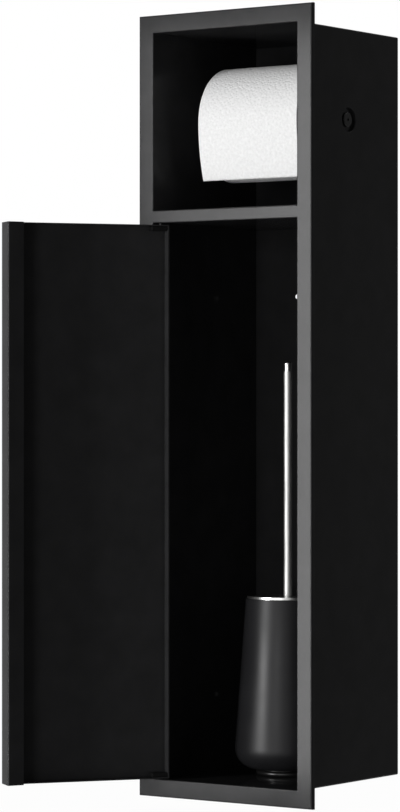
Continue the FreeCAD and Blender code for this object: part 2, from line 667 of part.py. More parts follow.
def brush_handle():
    """Polished rod, drilled at its top for the end cap."""
    top = HANDLE_TOP_Z - END_CAP_LENGTH
    rod = holder_rod(HANDLE_RADIUS, LID_Z - HANDLE_SEAT, top)
    return rod.cut(holder_rod(END_CAP_PEG_RADIUS + HANDLE_SEAT_CLEARANCE, top - END_CAP_PEG_LENGTH, top))


def handle_cap():
    """Domed end cap with a peg."""
    bottom = HANDLE_TOP_Z - END_CAP_LENGTH
    cap = holder_rod(HANDLE_RADIUS, bottom, HANDLE_TOP_Z)
    cap = rounded(cap, END_CAP_ROUNDING, on_level(HANDLE_TOP_Z, "z"))
    return cap.fuse(holder_rod(END_CAP_PEG_RADIUS, bottom - END_CAP_PEG_LENGTH, bottom))


def brush_socket():
    """Plastic ferrule under the lid that joins handle and stem."""
    bottom = LID_Z - FERRULE_LENGTH
    ferrule = holder_cone(FERRULE_BOTTOM_RADIUS, FERRULE_TOP_RADIUS, bottom, LID_Z)
    return ferrule.cut(holder_rod(HANDLE_RADIUS + HANDLE_SEAT_CLEARANCE, LID_Z - HANDLE_SEAT, LID_Z))


def brush_core():
    """Plastic stem that carries the bristles."""
    return holder_rod(STEM_RADIUS, BRISTLE_Z, LID_Z - FERRULE_LENGTH)


def bristles():
    """Outer form of the bristle head around the stem."""
    top = BRISTLE_Z + BRISTLE_LENGTH
    head = holder_rod(BRISTLE_RADIUS, BRISTLE_Z, top)
    head = rounded(head, BRISTLE_TIP_ROUNDING, on_level(BRISTLE_Z, "z"))
    head = rounded(head, BRISTLE_TOP_ROUNDING, on_level(top, "z"))
    return head.cut(holder_rod(STEM_RADIUS, BRISTLE_Z, top))


# All pieces by name

def pieces():
    """Every piece of the cabinet at rest, with the door open."""
    upper_bracket_z = RAIL_BOTTOM_Z + BODY_SHEET
    lower_bracket_z = FLOOR_Z - BODY_SHEET - BRACKET_SHEET
    upper_block_z = DOOR_TOP - DOOR_SHEET - BLOCK_HEIGHT
    lower_block_z = DOOR_BOTTOM + DOOR_SHEET
    upper_tip_z = DOOR_TOP - PIN_REACH
    lower_tip_z = DOOR_BOTTOM + PIN_REACH
    return {
        "face_frame": face_frame(),
        "body_wrap": body_wrap(),
        "back_panel": back_panel(),
        "divider_shelf": divider_shelf(),
        "upper_pivot_bracket": pivot_bracket(upper_bracket_z),
        "lower_pivot_bracket": pivot_bracket(lower_bracket_z),
        "upper_pivot_pin": pivot_pin(upper_bracket_z + BRACKET_SHEET, upper_tip_z),
        "lower_pivot_pin": pivot_pin(lower_bracket_z, lower_tip_z),
        "thrust_washer": thrust_washer(),
        "door_pan": door_pan(),
        "door_block_upper": door_block(upper_block_z, upper_tip_z - BLOCK_BORE_SPARE, DOOR_TOP),
        "door_block_lower": door_block(lower_block_z, DOOR_BOTTOM, lower_tip_z + BLOCK_BORE_SPARE),
        "latch_bracket": latch_bracket(),
        "latch_housing": latch_housing(),
        "latch_plunger": latch_plunger(),
        "latch_magnet": latch_magnet(),
        "latch_spring": latch_spring(),
        "latch_screws": latch_screws(),
        "socket_left": socket(-1),
        "socket_right": socket(1),
        "socket_screws": socket_screws(),
        "roller_sleeve": roller_half(ROLLER_RADIUS, -1, SLEEVE_LENGTH),
        "roller_slider": roller_half(SLIDER_RADIUS, 1, SLIDER_LENGTH),
        "roller_spring": roller_spring(),
        "roll_core": roll_core(),
        "paper_roll": paper_roll(),
        "paper_tail": paper_tail(),
        "holder_foot": holder_foot(),
        "holder_cup": holder_cup(),
        "holder_liner": holder_liner(),
        "brush_lid": brush_lid(),
        "brush_handle": brush_handle(),
        "handle_cap": handle_cap(),
        "brush_socket": brush_socket(),
        "brush_core": brush_core(),
        "bristles": bristles(),
    }


os.makedirs("parts", exist_ok=True)
for name, shape in pieces().items():
    if not shape.isValid():
        raise ValueError(name + " is not a valid solid")
    shape.exportStep("parts/" + name + ".step")
    print(name, len(shape.Solids), "solid(s)", round(shape.Volume), "mm3")
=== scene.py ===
"""Looks of a recessed brush cabinet: coats, paper, bristles, springs and a studio round its frame."""

import json
import math
import random

import bmesh
import bpy
from bpy.props import FloatProperty, FloatVectorProperty, IntProperty, PointerProperty
from mathutils import Matrix, Vector

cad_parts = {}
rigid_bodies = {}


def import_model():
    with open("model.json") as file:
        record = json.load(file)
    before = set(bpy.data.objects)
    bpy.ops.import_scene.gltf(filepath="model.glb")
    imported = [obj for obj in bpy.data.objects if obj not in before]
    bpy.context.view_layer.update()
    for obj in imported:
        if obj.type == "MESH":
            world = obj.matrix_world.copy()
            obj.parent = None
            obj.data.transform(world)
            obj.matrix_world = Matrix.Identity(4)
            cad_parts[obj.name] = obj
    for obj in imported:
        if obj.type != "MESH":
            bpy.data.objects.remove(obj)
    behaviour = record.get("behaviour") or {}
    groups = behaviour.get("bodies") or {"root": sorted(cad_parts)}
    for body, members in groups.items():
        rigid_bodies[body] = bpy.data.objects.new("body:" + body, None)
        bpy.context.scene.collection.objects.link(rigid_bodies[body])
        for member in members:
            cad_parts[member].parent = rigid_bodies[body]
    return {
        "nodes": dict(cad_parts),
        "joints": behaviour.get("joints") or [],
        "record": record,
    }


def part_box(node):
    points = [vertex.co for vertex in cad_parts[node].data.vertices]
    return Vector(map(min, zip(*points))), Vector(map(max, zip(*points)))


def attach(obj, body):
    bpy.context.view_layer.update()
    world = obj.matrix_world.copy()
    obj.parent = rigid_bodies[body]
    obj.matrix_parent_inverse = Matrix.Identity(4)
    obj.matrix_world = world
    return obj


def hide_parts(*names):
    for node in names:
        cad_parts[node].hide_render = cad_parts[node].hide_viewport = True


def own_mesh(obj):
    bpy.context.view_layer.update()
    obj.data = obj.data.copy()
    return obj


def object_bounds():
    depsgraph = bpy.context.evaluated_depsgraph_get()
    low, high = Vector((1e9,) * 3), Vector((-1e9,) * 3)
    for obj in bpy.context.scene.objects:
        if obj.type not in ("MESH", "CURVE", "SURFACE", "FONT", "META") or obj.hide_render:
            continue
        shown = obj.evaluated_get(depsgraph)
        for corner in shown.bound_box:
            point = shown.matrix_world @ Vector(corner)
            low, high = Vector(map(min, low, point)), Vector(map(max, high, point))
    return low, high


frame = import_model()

bl_info = {
    "name": "Recessed Brush Cabinet",
    "version": (1, 0, 0),
    "blender": (4, 5, 0),
    "location": "View3D > Sidebar > Cabinet",
    "description": "Finishes the cabinet's frame and models its paper, bristles and springs",
    "category": "Object",
}

CAD_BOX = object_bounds()
X_AXIS = Vector((1, 0, 0))
Y_AXIS = Vector((0, 1, 0))
Z_AXIS = Vector((0, 0, 1))
WHITE = (1, 1, 1, 1)

# Fixed values of the meshes: lengths in metres, counts, and shares of other lengths

MERGE_DISTANCE = 1e-6
CREASE_ANGLE = math.radians(40)
ROLL_SEED = 4
ROLL_STEPS = 144
ROLL_EDGE_STEPS = 4
LAYER_START = 0.15
LAYER_END = 0.85
SHEET_ROW = 0.002
BRISTLE_SEED = 11
BRISTLE_TIP_ROUND = 0.020
BRISTLE_TOP_ROUND = 0.010
FILAMENT_ROOT = 0.8
FILAMENT_SIDES = 4
FILAMENT_TAPER = 0.7
SHORTEST_FILAMENT = 0.95
COIL_STEPS = 20
WIRE_SIDES = 8
WIRE_SHARE = 0.1
WIRES_PER_TURN = 5

# Fixed values of the finishes: scales of patterns per metre, ranges and shares

PATTERN_RANGE = (0.3, 0.7)
SHEEN_DRIFT = 14.0
TONE_DRIFT = 40.0
STREAK_STRETCH = (1.0, 1.0, 0.02)
STREAKS = 1500.0
STREAK_RANGE = (0.8, 1.25)
FLAT_TOP_RANGE = (0.5, 0.95)
BOARD_STRETCH = (1.0, 0.4, 0.4)
BOARD_FIBRES = 900.0
DOT_RANDOMNESS = 0.9
DOT_RANGE = (0.1, 0.45)
FIBRE_SHARE = 0.35
WINDING_RINGS = 4200.0
# painted shade: share of the tissue colour left on the roll's ends, which are the same paper as its mantle
WINDING_PAINTED_SHADE = 0.94
OWN_FINISHES = {"brush_handle": "satin_steel"}

# Stage cloths: name, two ends on plan, lower edge, upper edge and glow

CLOTHS = (
    ("right_cloth", (2.4, -1.9), (2.4, 1.8), -1.2, 2.2, 0.05),
    ("right_panel", (2.35, -1.2), (2.35, -0.58), -0.75, 0.75, 0.26),
    ("back_cloth", (4.0, 3.0), (-2.4, 3.0), -1.2, 2.2, 0.27),
    ("left_cloth", (-2.4, 3.0), (-2.4, -0.9), -1.2, 2.2, 0.33),
)
CLOTH_COLOUR = (0.02, 0.02, 0.02)
FLOOR_COLOUR = (0.50, 0.50, 0.50)


# Settings that a user would change


def colour(label, words, default):
    """A colour setting."""
    return FloatVectorProperty(name=label, description=words, subtype="COLOR", size=3, min=0, max=1,
                               default=default)


def length(label, words, default):
    """A length setting in metres."""
    return FloatProperty(name=label, description=words, unit="LENGTH", precision=5, default=default)


def share(label, words, default):
    """A setting from 0 to 1."""
    return FloatProperty(name=label, description=words, subtype="FACTOR", min=0, max=1, default=default)


def number(label, words, default):
    """A whole number setting."""
    return IntProperty(name=label, description=words, min=1, default=default)


def degrees(label, words, default):
    """An angle setting, with its default in degrees."""
    return FloatProperty(name=label, description=words, subtype="ANGLE", default=math.radians(default))


def position(label, words, default):
    """A setting of a place in metres."""
    return FloatVectorProperty(name=label, description=words, subtype="TRANSLATION", default=default)


def extent(label, words, default):
    """A setting of a width and a height in metres."""
    return FloatVectorProperty(name=label, description=words, size=2, unit="LENGTH", default=default)


def watts(label, words, default):
    """A setting of a lamp's power."""
    return FloatProperty(name=label, description=words, unit="POWER", default=default)


class FinishSettings(bpy.types.PropertyGroup):
    """Colours and gloss of the cabinet's finishes."""

    powder_colour: colour("Powder coat", "Colour of the coated sheet metal", (0.032, 0.032, 0.033))
    powder_roughness: share("Powder roughness", "Mean roughness of the powder coat", 0.095)
    powder_gloss: share("Powder gloss", "Specular level of the powder coat", 0.063)
    powder_grain: length("Powder grain", "Size of one dimple of the powder coat's skin", 0.0011)
    holder_colour: colour("Holder lacquer", "Colour of the brush holder", (0.012, 0.012, 0.013))
    holder_roughness: share("Holder roughness", "Mean roughness of the holder's lacquer", 0.39)
    holder_gloss: share("Holder gloss", "Specular level of the holder's lacquer", 0.17)
    steel_colour: colour("Polished steel", "Colour of the brush rod and lid", (0.52, 0.52, 0.51))
    rod_roughness: share("Rod roughness", "Mean roughness of the satin brush rod", 0.55)
    lid_roughness: share("Lid roughness", "Mean roughness of the lid's side", 0.30)
    lid_top_roughness: share("Lid top roughness", "Mean roughness of the lid's flat top", 0.17)
    plain_steel_colour: colour("Plain steel", "Colour of the springs and latch's steel", (0.56, 0.56, 0.57))
    nylon_colour: colour("Nylon", "Colour of the moulded hinge and latch parts", (0.005, 0.005, 0.005))
    oxide_colour: colour("Black oxide", "Colour of the pins and socket screws", (0.008, 0.008, 0.008))
    liner_colour: colour("Liner", "Colour of the drip liner", (0.50, 0.50, 0.50))
    rubber_colour: colour("Rubber", "Colour of the holder's foot", (0.008, 0.008, 0.008))
    bristle_colour: colour("Bristles", "Colour of the bristles", (0.016, 0.016, 0.017))


class PaperSettings(bpy.types.PropertyGroup):
    """The toilet roll: its paper, winding and loose end."""

    tissue_colour: colour("Tissue", "Colour of the paper", (0.92, 0.92, 0.92))
    board_colour: colour("Core board", "Colour of the cardboard core", (0.52, 0.42, 0.31))
    emboss_pitch: length("Emboss pitch", "Distance between the embossed dots", 0.0034)
    emboss_depth: length("Emboss depth", "Depth of the embossed dots", 0.00018)
    fibre_size: length("Fibre clump", "Size of the soft clumps in the paper", 0.0030)
    layers: number("Shown layers", "Rings of paper that stand apart on the roll's ends", 24)
    layer_shift: length("Layer shift", "How far the rings stand in", 0.00035)
    edge_round: length("Edge round", "Rounding of the roll's edges", 0.0008)
    sheet_thickness: length("Sheet thickness", "Thickness of the loose sheet", 0.00025)
    wrap_angle: degrees("Wrap angle", "How far the loose sheet lies on the roll", 115)
    tooth: length("Perforation tooth", "Width of one tooth of the torn edge", 0.0015)
    tooth_depth: length("Tooth depth", "Depth of the torn edge's teeth", 0.0004)


class BrushSettings(bpy.types.PropertyGroup):
    """The bristle head."""

    rings: number("Rings", "Rings of tufts along the stem", 15)
    tufts: number("Tufts", "Tufts in each ring", 22)
    filaments: number("Filaments", "Filaments in each tuft", 8)
    filament_radius: length("Filament radius", "Radius of a filament at its root", 0.00028)
    spread: degrees("Spread", "How far filaments fan out from their tuft", 9)


class StageSettings(bpy.types.PropertyGroup):
    """Camera, floor and light."""

    camera_place: position("Camera", "Where the camera stands", (1.8044, -2.7322, 0.09125))
    camera_turn: degrees("Camera turn", "Turn of the level camera from straight ahead", 35.62)
    lens: FloatProperty(name="Lens", description="Focal length in millimetres", default=146.72)
    floor_drop: length("Floor drop", "How far the floor lies below the cabinet", 0.90)
    floor_size: length("Floor size", "Side of the square floor", 40.0)
    floor_glow: share("Floor glow", "How much of the floor that the camera sees is plain white", 0.98)
    key_place: position("Key light", "Centre of the softbox", (-1.847, -3.723, 0.09))
    key_size: extent("Key size", "Width and height of the softbox", (0.912, 1.62))
    key_power: watts("Key power", "Power of the softbox", 116.0)
    side_place: position("Side light", "Centre of the dimmer strip beside the key", (-2.338, -3.421, 0.09))
    side_size: extent("Side size", "Width and height of the dimmer strip", (0.244, 1.62))
    side_power: watts("Side power", "Power of the dimmer strip", 20.0)
    fill_place: position("Fill light", "Centre of the fill panel", (0.58, -4.29, 0.09))
    fill_size: extent("Fill size", "Width and height of the fill panel", (1.12, 1.64))
    fill_power: watts("Fill power", "Power of the fill panel", 24.0)
    ambient: share("Ambient", "Level of the light from all round", 0.015)


# Shader nodes


def feed(owner, value, socket):
    """Links a socket of a material or world to another, or sets its value."""
    if isinstance(value, bpy.types.NodeSocket):
        owner.node_tree.links.new(value, socket)
    else:
        socket.default_value = value


def node(owner, kind, inputs=None, **settings):
    """Adds a node to a material or world, with its settings and what feeds its sockets."""
    made = owner.node_tree.nodes.new("ShaderNode" + kind)
    for name, value in settings.items():
        setattr(made, name, value)
    for socket, value in (inputs or {}).items():
        feed(owner, value, made.inputs[socket])
    return made


def calculate(owner, operation, *terms):
    """The result of one operation on sockets or numbers."""
    return node(owner, "Math", dict(enumerate(terms)), operation=operation).outputs["Value"]


def calculate_vector(owner, operation, *terms):
    """The outputs of one operation on sockets or vectors."""
    return node(owner, "VectorMath", dict(enumerate(terms)), operation=operation).outputs


def map_range(owner, value, source, target, **settings):
    """A value carried over from one range to another."""
    limits = {"From Min": source[0], "From Max": source[1], "To Min": target[0], "To Max": target[1]}
    return node(owner, "MapRange", {"Value": value, **limits}, **settings).outputs["Result"]


def new_finish(name, base, roughness, metallic=0.0, specular=0.5):
    """A material with one principled shader, in place of any other of its name. Returns both."""
    material = bpy.data.materials.get(name) or bpy.data.materials.new(name)
    material.use_nodes = True
    material.node_tree.nodes.clear()
    shader = node(material, "BsdfPrincipled", {
        "Base Color": (*base, 1.0),
        "Roughness": roughness,
        "Metallic": metallic,
        "Specular IOR Level": specular,
    })
    node(material, "OutputMaterial", {"Surface": shader.outputs["BSDF"]})
    return material, shader


def finish_named(name):
    """The material that was made under a name."""
    return bpy.data.materials[name]


def object_place(material, stretch=(1, 1, 1)):
    """The point on the piece, in its own frame, with each axis stretched for the pattern."""
    place = node(material, "TexCoord").outputs["Object"]
    return node(material, "Mapping", {"Vector": place, "Scale": stretch}).outputs["Vector"]


def noise(material, place, scale, detail=2.0):
    """A noise pattern from 0 to 1."""
    return node(material, "TexNoise", {"Vector": place, "Scale": scale, "Detail": detail}).outputs["Fac"]


def uneven_colour(material, shader, pattern, base, change):
    """Lets a colour drift lighter and darker with a pattern."""
    ramp = node(material, "ValToRGB", {"Fac": pattern})
    for stop, place, factor in zip(ramp.color_ramp.elements, PATTERN_RANGE, (1 - change, 1 + change)):
        stop.position = place
        stop.color = (*[channel * factor for channel in base], 1.0)
    feed(material, ramp.outputs["Color"], shader.inputs["Base Color"])


def raise_bump(material, shader, height, depth):
    """Puts a relief of a given depth on the shader."""
    bump = node(material, "Bump", {"Height": height, "Distance": depth, "Strength": 1.0})
    feed(material, bump.outputs["Normal"], shader.inputs["Normal"])


# Finishes


def skin_finish(name, base, roughness, grain, depth, rough_change=0.05, colour_change=0.12, **kind):
    """A coat or moulding with a fine dimpled skin, and a sheen and tone that drift over the piece."""
    material, shader = new_finish(name, base, roughness, **kind)
    place = object_place(material)
    drift = noise(material, place, SHEEN_DRIFT, detail=3.0)
    sheen = map_range(material, drift, PATTERN_RANGE, (roughness - rough_change, roughness + rough_change))
    feed(material, sheen, shader.inputs["Roughness"])
    uneven_colour(material, shader, noise(material, place, TONE_DRIFT, detail=4.0), base, colour_change)
    raise_bump(material, shader, noise(material, place, 1 / grain), depth)


def polished_finish(name, base, roughness, top_roughness):
    """Polished metal with faint streaks along the rod, and a finer polish on flat tops."""
    material, shader = new_finish(name, base, roughness, metallic=1.0)
    streaks = noise(material, object_place(material, STREAK_STRETCH), STREAKS, detail=3.0)
    normal = node(material, "TexCoord").outputs["Normal"]
    facing_up = node(material, "SeparateXYZ", {"Vector": normal}).outputs["Z"]
    polish = map_range(material, facing_up, FLAT_TOP_RANGE, (roughness, top_roughness))
    wear = map_range(material, streaks, PATTERN_RANGE, STREAK_RANGE)
    feed(material, calculate(material, "MULTIPLY", polish, wear), shader.inputs["Roughness"])


def board_finish(paper):
    """Grey-brown roll board with its spiral fibres."""
    material, shader = new_finish("roll_cardboard", paper.board_colour, 0.9, specular=0.2)
    fibres = noise(material, object_place(material, BOARD_STRETCH), BOARD_FIBRES, detail=5.0)
    uneven_colour(material, shader, fibres, paper.board_colour, change=0.18)
    raise_bump(material, shader, fibres, depth=0.0002)


def tissue_finish(paper):
    """Soft white paper with a loose lattice of embossed dots, and fibres."""
    material, shader = new_finish("tissue_paper", paper.tissue_colour, 0.95, specular=0.15)
    place = node(material, "UVMap", uv_map="paper").outputs["UV"]
    diagonal = {"Vector": place, "Rotation": (0, 0, math.radians(45))}
    lattice = {
        "Vector": node(material, "Mapping", diagonal).outputs["Vector"],
        "Scale": 1 / paper.emboss_pitch,
        "Randomness": DOT_RANDOMNESS,
    }
    dots = node(material, "TexVoronoi", lattice, voronoi_dimensions="2D").outputs["Distance"]
    dimples = map_range(material, dots, DOT_RANGE, (0.0, 1.0), interpolation_type="SMOOTHSTEP")
    fibres = noise(material, place, 1 / paper.fibre_size, detail=4.0)
    uneven_colour(material, shader, fibres, paper.tissue_colour, change=0.06)
    relief = calculate(material, "MULTIPLY_ADD", fibres, FIBRE_SHARE, dimples)
    raise_bump(material, shader, relief, paper.emboss_depth)


def winding_finish(paper, axis_point):
    """The roll's ends, where the edges of the layers make fine rings, painted a little darker than the
    mantle as painted shade.
    """
    material, shader = new_finish("tissue_winding", paper.tissue_colour, 0.95, specular=0.1)
    place = node(material, "TexCoord").outputs["Object"]
    from_axis = calculate_vector(material, "SUBTRACT", place, axis_point)["Vector"]
    across = calculate_vector(material, "MULTIPLY", from_axis, (0, 1, 1))["Vector"]
    radius = calculate_vector(material, "LENGTH", across)["Value"]
    layers = {"W": radius, "Scale": WINDING_RINGS, "Detail": 3.0}
    rings = node(material, "TexNoise", layers, noise_dimensions="1D").outputs["Fac"]
    # painted shade: the ends get the tissue colour darkened by a fixed share, with the rings as tone and
    # relief on top
    painted_shade_tone = [channel * WINDING_PAINTED_SHADE for channel in paper.tissue_colour]
    uneven_colour(material, shader, rings, painted_shade_tone, change=0.05)
    raise_bump(material, shader, rings, depth=0.0003)
    return material


def make_finishes(scene):
    """Makes one material for each of the record's material slots, and a satin one for the rod."""
    coats = scene.cabinet_finish
    paper = scene.cabinet_paper
    skin_finish("black_powder_coat", coats.powder_colour, coats.powder_roughness, coats.powder_grain,
                depth=0.000008, rough_change=0.02, specular=coats.powder_gloss)
    skin_finish("satin_black_holder", coats.holder_colour, coats.holder_roughness, grain=0.0007,
                depth=0.00001, specular=coats.holder_gloss)
    skin_finish("black_nylon", coats.nylon_colour, roughness=0.7, grain=0.0005, depth=0.00002, specular=0.1)
    skin_finish("black_oxide_steel", coats.oxide_colour, roughness=0.3, grain=0.0004, depth=0.00001,
                specular=0.2)
    skin_finish("liner_plastic", coats.liner_colour, roughness=0.45, grain=0.0009, depth=0.00001,
                colour_change=0.04)
    skin_finish("foot_rubber", coats.rubber_colour, roughness=0.35, grain=0.0006, depth=0.00001,
                specular=0.3)
    skin_finish("black_bristle", coats.bristle_colour, roughness=0.38, grain=0.0010, depth=0.00001,
                colour_change=0.4)
    polished_finish("polished_steel", coats.steel_colour, coats.lid_roughness, coats.lid_top_roughness)
    polished_finish("satin_steel", coats.steel_colour, coats.rod_roughness, coats.rod_roughness)
    polished_finish("plain_steel", coats.plain_steel_colour, roughness=0.3, top_roughness=0.3)
    board_finish(paper)
    tissue_finish(paper)


# Meshes


def new_mesh(bm, name, *finishes):
    """A mesh made from a bmesh, with its materials."""
    mesh = bpy.data.meshes.new(name)
    bm.to_mesh(mesh)
    bm.free()
    for finish in finishes:
        mesh.materials.append(finish)
    return mesh


def link_object(name, data):
    """Links a new object to the scene."""
    made = bpy.data.objects.new(name, data)
    bpy.context.scene.collection.objects.link(made)
    return made


def closed_loop(bm, points):
    """A closed ring of edges through points."""
    corners = [bm.verts.new(point) for point in points]
    for first, second in zip(corners, corners[1:] + corners[:1]):
        bm.edges.new((first, second))


def spun_ring(points, axis_point, axis, steps):
    """A closed profile turned once about an axis into a solid ring."""
    bm = bmesh.new()
    closed_loop(bm, points)
    bmesh.ops.spin(bm, geom=bm.verts[:] + bm.edges[:], cent=axis_point, axis=axis, angle=math.tau,
                   steps=steps, use_merge=True)
    bmesh.ops.remove_doubles(bm, verts=bm.verts[:], dist=MERGE_DISTANCE)
    bmesh.ops.recalc_face_normals(bm, faces=bm.faces[:])
    return bm


def finished_piece(bm, name, body, slot, replaced, *more_finishes):
    """Makes a bmesh a piece that rides on a body, has its slot's finish and stands for a CAD node."""
    mesh = new_mesh(bm, name, finish_named(slot), *more_finishes)
    mesh.shade_smooth()
    mesh.set_sharp_from_angle(angle=CREASE_ANGLE)
    piece = link_object(name, mesh)
    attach(piece, body)
    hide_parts(replaced)
    return piece


# Pieces


class CABINET_OT_finish_nodes(bpy.types.Operator):
    """Give every CAD piece the finish of its slot in the record"""

    bl_idname = "cabinet.finish_nodes"
    bl_label = "Finish CAD Pieces"

    def execute(self, context):
        make_finishes(context.scene)
        for part in frame["record"]["subparts"]:
            materials = frame["nodes"][part["node"]].data.materials
            materials.clear()
            materials.append(finish_named(OWN_FINISHES.get(part["node"], part["material_slot"])))
        return {"FINISHED"}


def roll_measures():
    """Centre, radius, half width and bore radius of the toilet roll, from its CAD piece and its core."""
    low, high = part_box("paper_roll")
    core_low, core_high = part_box("roll_core")
    return (low + high) / 2, (high.z - low.z) / 2, (high.x - low.x) / 2, (core_high.z - core_low.z) / 2


def roll_profile(paper, centre, radius, half_width, bore):
    """Half section of the roll: uneven rings on both ends and a rounded edge between end and mantle."""
    draw = random.Random(ROLL_SEED)
    rounding = paper.edge_round
    edge_radius = radius - rounding
    pitch = (edge_radius - bore) / paper.layers
    right_end = []
    for layer in range(paper.layers):
        along = half_width - draw.uniform(0, paper.layer_shift)
        start = bore + pitch * layer
        right_end += [(along, start + LAYER_START * pitch), (along, start + LAYER_END * pitch)]
    for step in range(1, ROLL_EDGE_STEPS + 1):
        angle = math.radians(90) * step / ROLL_EDGE_STEPS
        along = half_width - rounding + rounding * math.cos(angle)
        right_end.append((along, edge_radius + rounding * math.sin(angle)))
    left_end = [(-along, out) for along, out in reversed(right_end)]
    return [centre + Vector((along, 0, out)) for along, out in right_end + left_end]


def lay_out_paper(bm, centre, radius):
    """Gives the roll a UV map in metres, along its girth and its width."""
    layer = bm.loops.layers.uv.new("paper")
    for face in bm.faces:
        middle = face.calc_center_median() - centre
        middle_angle = math.atan2(middle.y, middle.z)
        for loop in face.loops:
            spot = loop.vert.co - centre
            turn = math.remainder(math.atan2(spot.y, spot.z) - middle_angle, math.tau)
            loop[layer].uv = (radius * (middle_angle + turn), spot.x)


class CABINET_OT_build_roll(bpy.types.Operator):
    """Wind the toilet roll and hang its loose sheet"""

    bl_idname = "cabinet.build_roll"
    bl_label = "Build Toilet Roll"

    def execute(self, context):
        paper = context.scene.cabinet_paper
        centre, radius, half_width, bore = roll_measures()
        bm = spun_ring(roll_profile(paper, centre, radius, half_width, bore), centre, X_AXIS, ROLL_STEPS)
        lay_out_paper(bm, centre, radius)
        for face in bm.faces:
            face.material_index = 1 if abs(face.normal.x) > 0.5 else 0
        winding = winding_finish(paper, centre)
        finished_piece(bm, "wound_paper", "roll", "tissue_paper", "paper_roll", winding)
        hang_loose_sheet(paper, centre, radius, half_width)
        return {"FINISHED"}


def sheet_place(along, on_roll, wrap_radius, bend):
    """Where a point along the loose sheet lies, back and up from the roll's axis."""
    if along < on_roll:
        angle = (on_roll - along) / wrap_radius
        return -wrap_radius * math.cos(angle), wrap_radius * math.sin(angle)
    angle = (along - on_roll) / bend
    return bend - wrap_radius - bend * math.cos(angle), -bend * math.sin(angle)


def hang_loose_sheet(paper, centre, radius, half_width):
    """The paper's loose end: it lies on the roll, leaves it at the front and hangs, curling in a little."""
    low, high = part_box("paper_tail")
    drop = high.z - low.z
    wrap_radius = centre.y - low.y
    lean = high.y - low.y - (wrap_radius - radius)
    bend = (drop ** 2 + lean ** 2) / (2 * lean)
    on_roll = wrap_radius * paper.wrap_angle
    total = on_roll + bend * math.asin(drop / bend)
    teeth = round(2 * half_width / paper.tooth)
    bm = bmesh.new()
    layer = bm.loops.layers.uv.new("paper")
    bmesh.ops.create_grid(bm, x_segments=2 * teeth, y_segments=round(total / SHEET_ROW), size=1.0)
    for face in bm.faces:
        for loop in face.loops:
            loop[layer].uv = (total * (loop.vert.co.y + 1) / 2, half_width * loop.vert.co.x)
    notches = sorted({round(vert.co.x, 5) for vert in bm.verts})[1::2]
    for vert in bm.verts:
        along = total * (vert.co.y + 1) / 2
        if vert.co.y > 1 - MERGE_DISTANCE and round(vert.co.x, 5) in notches:
            along -= paper.tooth_depth
        across = half_width * vert.co.x
        vert.co = centre + Vector((across, *sheet_place(along, on_roll, wrap_radius, bend)))
    bmesh.ops.recalc_face_normals(bm, faces=bm.faces[:])
    if sum(face.normal.y for face in bm.faces) > 0:
        bmesh.ops.reverse_faces(bm, faces=bm.faces[:])
    sheet = finished_piece(bm, "loose_sheet", "roll", "tissue_paper", "paper_tail")
    wall = sheet.modifiers.new("ply", "SOLIDIFY")
    wall.thickness = paper.sheet_thickness
    wall.offset = -1.0


class CABINET_OT_build_bristles(bpy.types.Operator):
    """Set the bristle tufts into the brush's stem"""

    bl_idname = "cabinet.build_bristles"
    bl_label = "Build Bristles"

    def execute(self, context):
        brush = context.scene.cabinet_brush
        draw = random.Random(BRISTLE_SEED)
        low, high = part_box("bristles")
        stem_low, stem_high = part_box("brush_core")
        stem_radius = (stem_high.x - stem_low.x) / 2
        reach = (high.x - low.x) / 2
        middle = (low + high) / 2
        bm = bmesh.new()
        for ring in range(brush.rings):
            height = low.z + (high.z - low.z) * (ring + 0.5) / brush.rings
            root = Vector((middle.x, middle.y, height))
            for tuft in range(brush.tufts):
                turn = math.tau * (tuft + 0.5 * (ring % 2)) / brush.tufts
                for _ in range(brush.filaments):
                    add_filament(bm, brush, draw, root, turn, stem_radius, reach, low.z, high.z)
        finished_piece(bm, "bristle_tufts", "brush", "black_bristle", "bristles")
        return {"FINISHED"}


def rounding_loss(distance, rounding):
    """How much a rounded end takes off the radius, at a distance from that end."""
    inside = min(distance / rounding, 1.0)
    return rounding * (1 - math.sqrt(1 - (1 - inside) ** 2))


def add_filament(bm, brush, draw, root, turn, stem_radius, reach, low, high):
    """One filament: a thin tapered rod from the stem outwards, a little off its tuft's direction."""
    side = turn + draw.gauss(0, brush.spread / 2)
    rise = draw.gauss(0, brush.spread / 2)
    direction = Vector((math.cos(side) * math.cos(rise), math.sin(side) * math.cos(rise), math.sin(rise)))
    tip_height = min(max(root.z + reach * math.sin(rise), low), high)
    tip_loss = rounding_loss(tip_height - low, BRISTLE_TIP_ROUND)
    top_loss = rounding_loss(high - tip_height, BRISTLE_TOP_ROUND)
    end = (reach - tip_loss - top_loss) * draw.uniform(SHORTEST_FILAMENT, 1.0)
    start = stem_radius * FILAMENT_ROOT
    lean = direction.to_track_quat("Z", "Y").to_matrix().to_4x4()
    place = Matrix.Translation(root + direction * (start + end) / 2) @ lean
    bmesh.ops.create_cone(bm, cap_ends=True, segments=FILAMENT_SIDES, radius1=brush.filament_radius,
                          radius2=brush.filament_radius * FILAMENT_TAPER, depth=end - start, matrix=place)


class CABINET_OT_build_springs(bpy.types.Operator):
    """Coil the springs of the latch and the roller"""

    bl_idname = "cabinet.build_springs"
    bl_label = "Build Springs"

    def execute(self, context):
        for joint in frame["joints"]:
            for spring in joint.get("deforming_nodes", []):
                coil_spring(spring["node"], joint)
        return {"FINISHED"}


